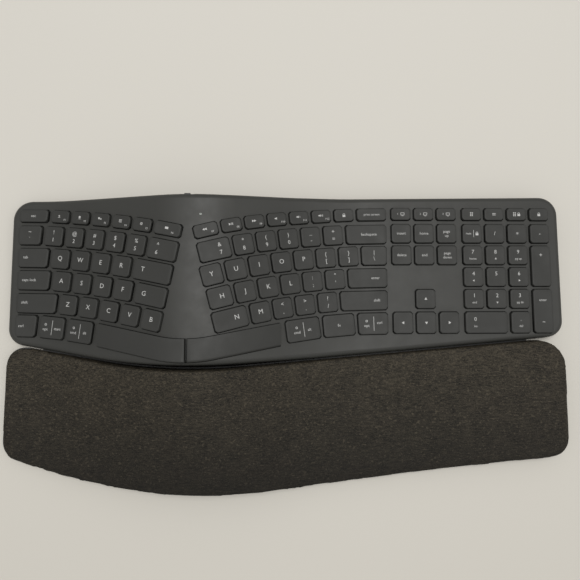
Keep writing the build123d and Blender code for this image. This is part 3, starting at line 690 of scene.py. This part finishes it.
FUNCTION_SIGNS = {
    1: disc(0.6) + bar(1.9, 0.35, 0, -1.3),
    2: disc(0.95) + bar(2.2, 0.35, 0, -1.5),
    3: bar(1.5, 1.5, -0.8, 0.3) + bar(1.1, 1.1, 1.0, -0.2),
    4: bar(2.6, 0.4, 0, 0.9) + bar(2.6, 0.4) + bar(2.6, 0.4, 0, -0.9),
    5: ring(1.1, 0.75) + bar(0.35, 1.6, 0, -0.4),
    6: bar(2.7, 1.7),
    7: arrow(180, 1.9, -0.9) + arrow(180, 1.9, 0.8),
    8: arrow(0, 1.9, -0.8) + bar(0.4, 1.9, 0.9) + bar(0.4, 1.9, 1.7),
    9: arrow(0, 1.9, -0.8) + arrow(0, 1.9, 0.9),
    10: bar(0.9, 0.9, -0.9) + arrow(180, 1.9),
    11: bar(0.9, 0.9, -1.2) + arrow(180, 1.9, -0.3) + bar(0.35, 1.4, 1.3),
    12: bar(0.9, 0.9, -1.4) + arrow(180, 1.9, -0.5) + bar(0.35, 1.2, 0.9) + bar(0.35, 2.0, 1.7),
}


def function_key(number):
    """Small sign with the number of the function key at its lower right."""
    signs = FUNCTION_SIGNS[number]
    moved = [(kind, measures, u - 0.6, v + 0.6) for kind, measures, u, v in signs]
    return moved + text(f"F{number}", 4.8, -2.5, SMALL)


SHIFTED_LETTERS = {"t": -7.9, "g": -5.5, "h": 1.6, "n": 5.1}
LEGENDS = {
    "function_keys_left": [[text("esc")] + [function_key(number) for number in range(1, 7)]],
    "number_keys_left": [
        [pair("~", "`")] + [pair(*signs) for signs in ("!1", "@2", "#3", "$4", "%5")]
        + [pair("^", "6", -4.1)],
    ],
    "edge_keys_left": [
        [text("tab", -6.2, 0.4)],
        [text("caps lock", -3.6, 0.2)],
        [text("shift", -10.0, 0.6)],
        [text("ctrl", -3.8), halves("opt", "start"), halves("cmd", "alt")],
    ],
    "function_keys_right": [
        [function_key(number) for number in range(7, 13)]
        + [padlock(), text("print screen", 0, 0, 2.7)],
    ],
    "number_keys_right": [
        [pair("&", "7", 4.5)] + [pair(*signs) for signs in ("*8", "(9", ")0", "_-", "+=")]
        + [text("backspace", 2.0)],
    ],
    "edge_keys_right": [
        [pair("|", "\\", 0, DIGIT, 2.6)],
        [text("enter", 6.4)],
        [text("shift", 10.6)],
        [halves("cmd", "alt"), text("fn"), halves("opt", "ctrl", -1.6, 0.6)],
    ],
    "punctuation_keys": [
        [pair("{", "[", 0, DIGIT, 2.7), pair("}", "]", 0, DIGIT, 2.7)],
        [pair(":", ";"), pair('"', "'")],
        [pair("<", ","), pair(">", "."), pair("?", "/")],
    ],
    "navigation_keys": [
        [text(digit, -2.6, 0, SMALL) + device(1.4) for digit in "123"],
        [text("insert"), text("home"), text("page", 0, 1.6) + text("up", 0, -1.9)],
        [text("delete"), text("end"), text("page", 0, 1.6) + text("down", 0, -1.9)],
    ],
    "arrow_keys": [
        [arrow(90, 2.3)],
        [arrow(180, 2.3), arrow(270, 2.3), arrow(0, 2.3)],
    ],
    "number_pad_keys": [
        [
            grid(), bar(2.8, 0.5, 0, 0.6) + bar(2.8, 0.5, 0, -0.6), grid(-1.6) + padlock(2.0),
            padlock(),
        ],
        [
            text("num", -3.0, 0, CAPTION) + bar(0.3, 6.0, 1.2) + padlock(4.0),
            text("/", 0, 0, DIGIT), text("*", 0, -0.8, 5.2), text("-", 0, 0, 5.0),
        ],
        [
            pad_key("7", "home"), pad_key("8", turn=90), pad_key("9", "pg up"),
            text("+", 0, 9.0, 5.0),
        ],
        [pad_key("4", turn=180), pad_key("5"), pad_key("6", turn=0)],
        [
            pad_key("1", "end"), pad_key("2", turn=270), pad_key("3", "pg dn"),
            text("enter", 0, 9.0, 2.9) + bar(2.2, 0.4, 0, -9.0),
        ],
        [pad_key("0", "ins", u=-9.3), pad_key(".", "del")],
    ],
}


def legends_of(name):
    """Marks of a node's caps, in the order of its caps."""
    if name in LEGENDS:
        return [marks for row in LEGENDS[name] for marks in row]
    letter = name[-1]
    return [text(letter.upper(), SHIFTED_LETTERS.get(letter, 0), 0.4, 5.2)]


def glyph(words, size):
    """Flat mesh of some words, kept by name so that each is made once."""
    name = f"Glyph_{words}_{size}"
    if name not in bpy.data.meshes:
        curve = bpy.data.curves.new("Glyph", "FONT")
        curve.body = words
        curve.size = size * MM
        curve.align_x = "CENTER"
        curve.align_y = "CENTER"
        curve.resolution_u = 2
        letters = bpy.data.objects.new("Glyph", curve)
        bpy.context.scene.collection.objects.link(letters)
        bpy.context.view_layer.update()
        graph = bpy.context.evaluated_depsgraph_get()
        mesh = bpy.data.meshes.new_from_object(letters.evaluated_get(graph))
        mesh.name = name
        bpy.data.objects.remove(letters)
        bpy.data.curves.remove(curve)
    return bpy.data.meshes[name]


def draw_mark(bm, kind, measures):
    """Adds a flat mark at the origin and gives its corners."""
    known = set(bm.verts)
    if kind == "text":
        bm.from_mesh(glyph(*measures))
    elif kind == "bar":
        block = bmesh.ops.create_grid(bm, x_segments=1, y_segments=1, size=0.5 * MM)["verts"]
        bmesh.ops.scale(bm, vec=(*measures, 1), verts=block)
    elif kind == "arrow":
        turn, size = measures
        radius = size * 0.6 * MM
        head = bmesh.ops.create_circle(bm, cap_ends=True, radius=radius, segments=3)["verts"]
        turned = Matrix.Rotation(math.radians(turn - 90), 3, "Z")
        bmesh.ops.rotate(bm, matrix=turned, verts=head)
    else:
        radius, hole = measures
        radius = radius * MM
        rim = bmesh.ops.create_circle(bm, cap_ends=True, radius=radius, segments=14)["verts"]
        if hole:
            middle = rim[0].link_faces[0]
            bmesh.ops.inset_individual(bm, faces=[middle], thickness=radius - hole * MM)
            bmesh.ops.delete(bm, geom=[middle], context="FACES_ONLY")
    return [vert for vert in bm.verts if vert not in known]


def print_legend(bm, place, marks, surface, rise):
    """Prints a cap's marks on its dished top."""
    up = place.col[2].to_3d()
    for kind, measures, u, v in marks:
        verts = draw_mark(bm, kind, measures)
        spot_on_cap = place @ Matrix.Translation((u * MM, v * MM, 0))
        bmesh.ops.transform(bm, matrix=spot_on_cap, verts=verts)
        for vert in verts:
            spot = surface.ray_cast(vert.co + up * MM, -up)[0]
            vert.co = (spot or vert.co) + up * rise


# Palm pad


def swell(pad, settings):
    """Cloth with pressure crowns the pad a little; it only lifts, and never past its largest move."""
    rest = [vert.co.copy() for vert in pad.data.vertices]
    cloth = pad.modifiers.new("Cloth", "CLOTH")
    cloth.settings.use_pressure = True
    cloth.settings.uniform_pressure_force = settings.pressure
    cloth.settings.effector_weights.gravity = 0
    cloth.settings.quality = 3
    cloth.point_cache.frame_start = 1
    cloth.point_cache.frame_end = settings.frames
    scene = bpy.context.scene
    for number in range(1, settings.frames + 1):
        scene.frame_set(number)
    bake(pad)
    scene.frame_set(1)
    for vert, start in zip(pad.data.vertices, rest):
        lift = min(max(vert.co.z - start.z, 0), settings.largest_move)
        vert.co = start + Vector((0, 0, lift))


def outer_skin(settings):
    """The palm rest's outer skin, drawn down past its hem and closed flat."""
    bm = joined(nodes["palm_fabric"])
    hem = min(vert.co.z for vert in bm.verts)
    hem_faces = [
        face for face in bm.faces
        if face.normal.z < -0.99 and face.calc_center_median().z < hem + 0.1 * MM
    ]
    bmesh.ops.delete(bm, geom=hem_faces, context="FACES_ONLY")
    walls = islands(bm)
    inner = min(walls, key=lambda wall: max(vert.co.z for face in wall for vert in face.verts))
    bmesh.ops.delete(bm, geom=inner, context="FACES")
    loose = [edge for edge in bm.edges if not edge.link_faces]
    bmesh.ops.delete(bm, geom=loose, context="EDGES")
    rim = [edge for edge in bm.edges if edge.is_boundary]
    wall = bmesh.ops.extrude_edge_only(bm, edges=rim)["geom"]
    drawn = [part for part in wall if isinstance(part, bmesh.types.BMVert)]
    bmesh.ops.translate(bm, vec=(0, 0, -settings.deeper), verts=drawn)
    open_edges = [edge for edge in bm.edges if edge.is_boundary]
    bmesh.ops.holes_fill(bm, edges=open_edges, sides=0)
    bmesh.ops.recalc_face_normals(bm, faces=bm.faces)
    return bm


def group_points(pad, name, wanted):
    """Group of those points of a pad that a test lets through."""
    points = [vert.index for vert in pad.data.vertices if wanted(vert)]
    pad.vertex_groups.new(name=name).add(points, 1.0, "ADD")


def off_underside(point):
    """Whether a point of the pad lies off its flat underside."""
    return point.normal.z > UNDERSIDE


def on_side(point):
    """Whether a point of the pad lies neither on its underside nor on its flat top."""
    return UNDERSIDE < point.normal.z < PAD_TOP


def wrap(pad, group, offset):
    """Draws a group of a pad's points onto the skin of its solid."""
    skin = pad.modifiers.new("Skin", "SHRINKWRAP")
    skin.target = nodes["palm_fabric"]
    skin.wrap_method = "NEAREST_SURFACEPOINT"
    skin.wrap_mode = "ABOVE_SURFACE"
    skin.offset = offset
    skin.vertex_group = group


def settle(pad, settings):
    """Gives the extra depth back and draws the pad a little under the skin of its solid."""
    bottom = min(vert.co.z for vert in pad.data.vertices)
    hem = bottom + settings.deeper
    share = settings.low_part / (settings.low_part + settings.deeper)
    for vert in pad.data.vertices:
        if vert.co.z < hem + settings.low_part:
            vert.co.z = hem + (vert.co.z - bottom) * share
    group_points(pad, "Skin", off_underside)
    blown = [vert for vert in pad.data.vertices if off_underside(vert)]
    moves = [vert.normal * settings.stand_off for vert in blown]
    for vert, move in zip(blown, moves):
        vert.co += move
    wrap(pad, "Skin", -settings.sink)
    bake(pad)


def close_pad(pad, settings):
    """Makes the pad finer, with its sides on its solid's skin and its underside on the rigid base."""
    group_points(pad, "Sides", on_side)
    group_points(pad, "Seat", lambda vert: not off_underside(vert))
    finer = pad.modifiers.new("Finer", "SUBSURF")
    finer.levels = 1
    finer.render_levels = 1
    wrap(pad, "Sides", 0.0)
    seat = pad.modifiers.new("Seat", "SHRINKWRAP")
    seat.target = nodes["palm_base"]
    seat.wrap_method = "PROJECT"
    seat.use_project_z = True
    seat.cull_face = "FRONT"
    seat.offset = settings.foam_gap
    seat.vertex_group = "Seat"
    bake(pad)


# Operators


class KEYBOARD_OT_case(bpy.types.Operator):
    """Finish the upper and lower case, the status light and the switch with its ridges"""

    bl_idname = "keyboard.case"
    bl_label = "Case, light and switch"

    def execute(self, context):
        paint_nodes(("housing", "base", "light", "switch"))
        low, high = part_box("power_switch")
        bm = bmesh.new()
        for share in (0.3, 0.5, 0.7):
            ridge = bmesh.ops.create_cube(bm, size=1)["verts"]
            bmesh.ops.scale(bm, vec=(0.35 * MM, 0.2 * MM, 1.6 * MM), verts=ridge)
            place = (low.x + (high.x - low.x) * share, high.y, high.z - 1.2 * MM)
            bmesh.ops.translate(bm, vec=place, verts=ridge)
        round_edges(bm, bm.edges[:], 0.05 * MM, 2)
        piece_from("Switch_ridges", bm, "power_switch", ("switch",))
        return {"FINISHED"}


class KEYBOARD_OT_inner_parts(bpy.types.Operator):
    """Finish the domes, film, plate, board, cells and contacts"""

    bl_idname = "keyboard.inner_parts"
    bl_label = "Inner parts"

    def execute(self, context):
        paint_nodes(("dome_rubber", "contact_film", "plate_steel"))
        paint_nodes(("board", "cell_can", "spring_metal"))
        return {"FINISHED"}


class KEYBOARD_OT_domes(bpy.types.Operator):
    """Flatten the rubber sheet and set domes on it under their own keys"""

    bl_idname = "keyboard.domes"
    bl_label = "Domes"

    def execute(self, context):
        settings = context.scene.keyboard_domes
        bm = joined(nodes["dome_sheet"])
        membrane = joined(nodes["membrane"])
        film = BVHTree.FromBMesh(membrane)
        membrane.free()
        for vert in bm.verts:
            near, _, _, gap = film.find_nearest(vert.co)
            if gap > 2 * settings.sheet:
                vert.co = near + (vert.co - near).normalized() * settings.sheet
        for name in LETTER_KEYS + BLOCK_KEYS + SPACE_BARS:
            make_domes(name, settings)
        sheet = piece_from("Dome_sheet", bm, "housing", ("dome_rubber",))
        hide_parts("dome_sheet")
        return {"FINISHED"}


class KEYBOARD_OT_underside(bpy.types.Operator):
    """Finish the legs, feet and screws, with flat dark crosses as painted shade of the screws' cross recesses, and
    the door's grip ribs
    """

    bl_idname = "keyboard.underside"
    bl_label = "Underside"

    def execute(self, context):
        paint_nodes(("leg", "foot_rubber", "screw_steel"))
        screws = merged(nodes["screws"])
        cross_shades = bmesh.new()
        for group in islands(screws):
            spots = [vert.co for face in group for vert in face.verts]
            middle = middle_of(spots)
            middle[2] = min(spot.z for spot in spots) - 0.02 * MM
            turn = Matrix.Translation(middle) @ Matrix.Rotation(math.pi, 4, "X")
            # Painted shade: a flat near-black cross on each screw's head stands in for the shade in its cross
            # recess.
            for measures in ((3.0, 0.7), (0.7, 3.0)):
                verts = draw_mark(cross_shades, "bar", measures)
                bmesh.ops.transform(cross_shades, matrix=turn, verts=verts)
        screws.free()
        piece_from("Screw_cross_shades", cross_shades, "housing", ("switch",))
        low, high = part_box("battery_door")
        ribs = bmesh.new()
        for step in (-1, 0, 1):
            rib = bmesh.ops.create_cube(ribs, size=1)["verts"]
            bmesh.ops.scale(ribs, vec=(9 * MM, 0.5 * MM, 0.5 * MM), verts=rib)
            place = ((low.x + high.x) / 2, low.y + (4.7 + step) * MM, low.z + 0.5 * MM)
            bmesh.ops.translate(ribs, vec=place, verts=rib)
        round_edges(ribs, ribs.edges[:], 0.15 * MM, 2)
        piece_from("Door_ribs", ribs, "battery_door", ("base",), 40)
        return {"FINISHED"}


class KEYBOARD_OT_caps(bpy.types.Operator):
    """Round and dish the caps"""

    bl_idname = "keyboard.caps"
    bl_label = "Caps"

    def execute(self, context):
        for name in LETTER_KEYS + BLOCK_KEYS:
            make_caps(name, context.scene.keyboard_caps)
        return {"FINISHED"}


class KEYBOARD_OT_space_bars(bpy.types.Operator):
    """Roll the edges of the two space bars"""

    bl_idname = "keyboard.space_bars"
    bl_label = "Space bars"

    def execute(self, context):
        for name in SPACE_BARS:
            make_space_bar(name, context.scene.keyboard_caps)
        return {"FINISHED"}


class KEYBOARD_OT_legends(bpy.types.Operator):
    """Print plain legends on the caps"""

    bl_idname = "keyboard.legends"
    bl_label = "Legends"

    def execute(self, context):
        rise = context.scene.keyboard_caps.ink_rise
        for name in LETTER_KEYS + BLOCK_KEYS:
            places = [place for row in cap_rows(name) for place in row]
            legends = legends_of(name)
            if len(places) != len(legends):
                raise ValueError(f"{name} has {len(places)} caps and {len(legends)} legends")
            caps = bmesh.new()
            caps.from_mesh(bpy.data.objects["Cap_" + name].data)
            surface = BVHTree.FromBMesh(caps)
            caps.free()
            ink = bmesh.new()
            for place, marks in zip(places, legends):
                print_legend(ink, place, marks, surface, rise)
            piece_from("Legend_" + name, ink, name, ("ink",))
        return {"FINISHED"}


class KEYBOARD_OT_palm_pad(bpy.types.Operator):
    """Swell the palm rest's pad as cloth and cover it with knit"""

    bl_idname = "keyboard.palm_pad"
    bl_label = "Palm pad"

    def execute(self, context):
        settings = context.scene.keyboard_palm
        pad = piece_from("Palm_pad", outer_skin(settings), "housing", ("palm_fabric",))
        closed = pad.modifiers.new("Closed", "REMESH")
        closed.mode = "VOXEL"
        closed.voxel_size = settings.voxel
        bake(pad)
        settle(pad, settings)
        swell(pad, settings)
        close_pad(pad, settings)
        pad.data.shade_smooth()
        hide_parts("palm_fabric", "palm_foam")
        return {"FINISHED"}


class KEYBOARD_OT_desk(bpy.types.Operator):
    """Lay the pale desk, the soft lights and the photograph's camera"""

    bl_idname = "keyboard.desk"
    bl_label = "Desk, light and camera"

    def execute(self, context):
        scene = context.scene
        settings = scene.keyboard_stage
        bm = bmesh.new()
        verts = bmesh.ops.create_grid(bm, x_segments=8, y_segments=8, size=4.0)["verts"]
        bmesh.ops.translate(bm, vec=(0, 0, -0.02 * MM), verts=verts)
        mesh = bpy.data.meshes.new("Desk")
        bm.to_mesh(mesh)
        bm.free()
        desk = bpy.data.objects.new("Desk", mesh)
        scene.collection.objects.link(desk)
        laminate = Finish("Desk_laminate", 0.7)
        # Painted shade across the desk: darker towards the front, paler towards the back, with faint random
        # mottle.
        depth = laminate.span(laminate.axis("Y"), -0.3, 0.3) * 0.9 + laminate.noise(260, 2) * 0.1
        front, back = shade(settings.desk_front_painted_shade), shade(settings.desk_back_painted_light)
        laminate.feed("Base Color", laminate.mix(depth, front, back))
        laminate.relief(laminate.noise(0.8, 2), 0.004)
        mesh.materials.append(laminate.material)
        world = bpy.data.worlds.new("Room")
        world.use_nodes = True
        air = world.node_tree.nodes["Background"]
        air.inputs["Color"].default_value = (1.0, 0.99, 0.975, 1)
        air.inputs["Strength"].default_value = settings.room
        scene.world = world
        add_light("Ceiling_light", (-0.05, 0.3, 2.0), 0.9, settings.ceiling_power)
        add_light("Side_light", (1.6, -0.4, 2.2), 1.6, settings.side_power)
        lens = bpy.data.cameras.new("Camera")
        lens.sensor_width = SENSOR_WIDTH
        lens.lens = CAMERA_FOCAL / IMAGE_SIDE * SENSOR_WIDTH
        lens.clip_start = 0.01
        camera = bpy.data.objects.new("Camera", lens)
        camera.location = CAMERA_PLACE
        camera.rotation_mode = "ZYX"
        camera.rotation_euler = CAMERA_TURNS
        scene.collection.objects.link(camera)
        scene.camera = camera
        scene.view_settings.view_transform = "Standard"
        return {"FINISHED"}


def add_light(name, place, side, power):
    """Square soft light that looks at the origin."""
    light = bpy.data.lights.new(name, "AREA")
    light.size = side
    light.energy = power
    light.color = (1.0, 0.99, 0.97)
    lamp = bpy.data.objects.new(name, light)
    lamp.location = place
    lamp.rotation_euler = (-Vector(place)).to_track_quat("-Z", "Y").to_euler()
    bpy.context.scene.collection.objects.link(lamp)


class KEYBOARD_PT_panel(bpy.types.Panel):
    """Buttons for each step, with the sizes and colours they use"""

    bl_label = "Split keyboard"
    bl_idname = "KEYBOARD_PT_panel"
    bl_space_type = "VIEW_3D"
    bl_region_type = "UI"
    bl_category = "Keyboard"

    def draw(self, context):
        for operator in OPERATORS:
            self.layout.operator(operator.bl_idname)
        for name, group in GROUPS.items():
            for setting in group.__annotations__:
                self.layout.prop(getattr(context.scene, name), setting)


OPERATORS = (
    KEYBOARD_OT_case,
    KEYBOARD_OT_inner_parts,
    KEYBOARD_OT_domes,
    KEYBOARD_OT_underside,
    KEYBOARD_OT_caps,
    KEYBOARD_OT_space_bars,
    KEYBOARD_OT_legends,
    KEYBOARD_OT_palm_pad,
    KEYBOARD_OT_desk,
)
GROUPS = {
    "keyboard_caps": CapSettings,
    "keyboard_domes": DomeSettings,
    "keyboard_palm": PalmSettings,
    "keyboard_stage": StageSettings,
}
CLASSES = (*GROUPS.values(), *OPERATORS, KEYBOARD_PT_panel)


def register():
    for cls in CLASSES:
        bpy.utils.register_class(cls)
    for name, group in GROUPS.items():
        setattr(bpy.types.Scene, name, PointerProperty(type=group))


def unregister():
    for name in GROUPS:
        delattr(bpy.types.Scene, name)
    for cls in reversed(CLASSES):
        bpy.utils.unregister_class(cls)


def main():
    register()
    bpy.ops.keyboard.case()
    bpy.ops.keyboard.inner_parts()
    bpy.ops.keyboard.domes()
    bpy.ops.keyboard.underside()
    bpy.ops.keyboard.caps()
    bpy.ops.keyboard.space_bars()
    bpy.ops.keyboard.legends()
    bpy.ops.keyboard.palm_pad()
    bpy.ops.keyboard.desk()


if __name__ == "__main__":
    main()
